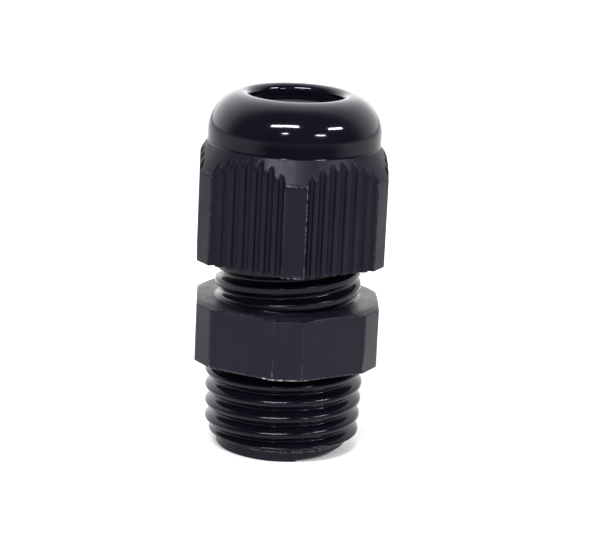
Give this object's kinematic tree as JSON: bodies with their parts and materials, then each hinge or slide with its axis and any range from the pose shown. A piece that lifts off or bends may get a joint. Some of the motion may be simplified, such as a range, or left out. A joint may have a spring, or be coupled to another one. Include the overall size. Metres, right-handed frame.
{
  "type": "cable gland",
  "caption": "Cable gland: tapered pipe thread, hexagon flange, ribbed hexagonal dome nut left loose, and inside it a clamping claw round a tapered rubber seal.",
  "frame": {"origin": "centre of the lower end face of the entry thread", "axes": "+Z along the cable's path, from the entry thread up to the dome; -Y faces one cut corner of the flange, nearly"},
  "size_m": [0.0162, 0.0172, 0.0309],
  "materials": {
    "body_nylon": "satin black nylon",
    "nut_nylon": "satin black nylon with a glossy dome",
    "claw_nylon": "satin black nylon",
    "seal_rubber": "matte black rubber"
  },
  "bodies": {
    "gland_body": {"gland_body": "body_nylon", "claw_ring": "claw_nylon"},
    "seal": {"seal": "seal_rubber"},
    "nut": {"sealing_nut": "nut_nylon"},
    "finger_1": {"clamp_finger_1": "claw_nylon"},
    "finger_2": {"clamp_finger_2": "claw_nylon"},
    "finger_3": {"clamp_finger_3": "claw_nylon"},
    "finger_4": {"clamp_finger_4": "claw_nylon"},
    "finger_5": {"clamp_finger_5": "claw_nylon"},
    "finger_6": {"clamp_finger_6": "claw_nylon"},
    "finger_7": {"clamp_finger_7": "claw_nylon"},
    "finger_8": {"clamp_finger_8": "claw_nylon"}
  },
  "joints": [
    {"name": "seal_press", "type": "slide", "parent": "gland_body", "child": "seal", "axis": [0, 0, 1], "range_m": [-0.003, 0], "deforming": ["seal"]},
    {"name": "nut_turn", "type": "hinge", "parent": "seal", "child": "nut", "pos_m": [0, 0, 0.024], "axis": [0, 0, 1], "range_deg": [-360, 0]},
    {"name": "finger_1_bend", "type": "hinge", "parent": "gland_body", "child": "finger_1", "pos_m": [0.00458, 0, 0.0208], "axis": [0, -1, 0], "range_deg": [0, 6]},
    {"name": "finger_2_bend", "type": "hinge", "parent": "gland_body", "child": "finger_2", "pos_m": [0.00324, 0.00324, 0.0208], "axis": [0.7071, -0.7071, 0], "range_deg": [0, 6]},
    {"name": "finger_3_bend", "type": "hinge", "parent": "gland_body", "child": "finger_3", "pos_m": [0, 0.00458, 0.0208], "axis": [1, 0, 0], "range_deg": [0, 6]},
    {"name": "finger_4_bend", "type": "hinge", "parent": "gland_body", "child": "finger_4", "pos_m": [-0.00324, 0.00324, 0.0208], "axis": [0.7071, 0.7071, 0], "range_deg": [0, 6]},
    {"name": "finger_5_bend", "type": "hinge", "parent": "gland_body", "child": "finger_5", "pos_m": [-0.00458, 0, 0.0208], "axis": [0, 1, 0], "range_deg": [0, 6]},
    {"name": "finger_6_bend", "type": "hinge", "parent": "gland_body", "child": "finger_6", "pos_m": [-0.00324, -0.00324, 0.0208], "axis": [-0.7071, 0.7071, 0], "range_deg": [0, 6]},
    {"name": "finger_7_bend", "type": "hinge", "parent": "gland_body", "child": "finger_7", "pos_m": [0, -0.00458, 0.0208], "axis": [-1, 0, 0], "range_deg": [0, 6]},
    {"name": "finger_8_bend", "type": "hinge", "parent": "gland_body", "child": "finger_8", "pos_m": [0.00324, -0.00324, 0.0208], "axis": [-0.7071, -0.7071, 0], "range_deg": [0, 6]}
  ],
  "couplings": [
    {"joint": "nut_turn", "follows": "seal_press", "rad_per_m": 2094.4},
    {"joint": "finger_1_bend", "follows": "seal_press", "rad_per_m": -34.907},
    {"joint": "finger_2_bend", "follows": "seal_press", "rad_per_m": -34.907},
    {"joint": "finger_3_bend", "follows": "seal_press", "rad_per_m": -34.907},
    {"joint": "finger_4_bend", "follows": "seal_press", "rad_per_m": -34.907},
    {"joint": "finger_5_bend", "follows": "seal_press", "rad_per_m": -34.907},
    {"joint": "finger_6_bend", "follows": "seal_press", "rad_per_m": -34.907},
    {"joint": "finger_7_bend", "follows": "seal_press", "rad_per_m": -34.907},
    {"joint": "finger_8_bend", "follows": "seal_press", "rad_per_m": -34.907}
  ]
}
